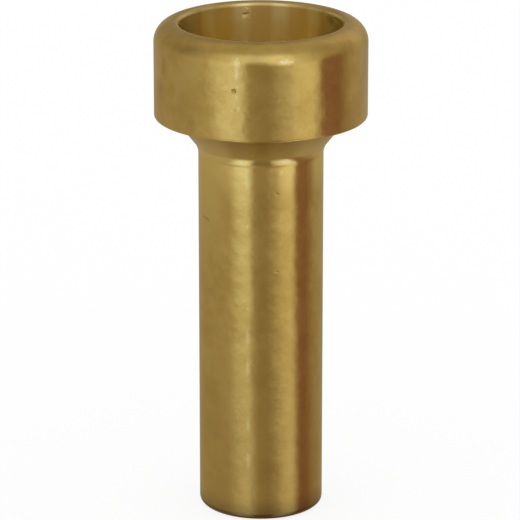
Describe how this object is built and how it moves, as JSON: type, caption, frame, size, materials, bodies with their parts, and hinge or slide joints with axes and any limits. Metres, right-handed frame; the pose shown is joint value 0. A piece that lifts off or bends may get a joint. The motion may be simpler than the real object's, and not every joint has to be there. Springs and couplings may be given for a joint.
{
  "type": "threaded nipple",
  "caption": "Turned brass nipple: a plain round stem, a flared neck and a cup-shaped head with an open socket, tapped right through.",
  "frame": {"origin": "centre of the stem's cut end, on the axis", "axes": "+Z along the axis, from the stem's cut end to the head's rim; X and Y are free, as the part is round"},
  "size_m": [0.0102, 0.0102, 0.0242],
  "materials": {
    "brass": "turned and lightly polished"
  },
  "bodies": {
    "root": {"nipple": "brass"}
  },
  "joints": []
}
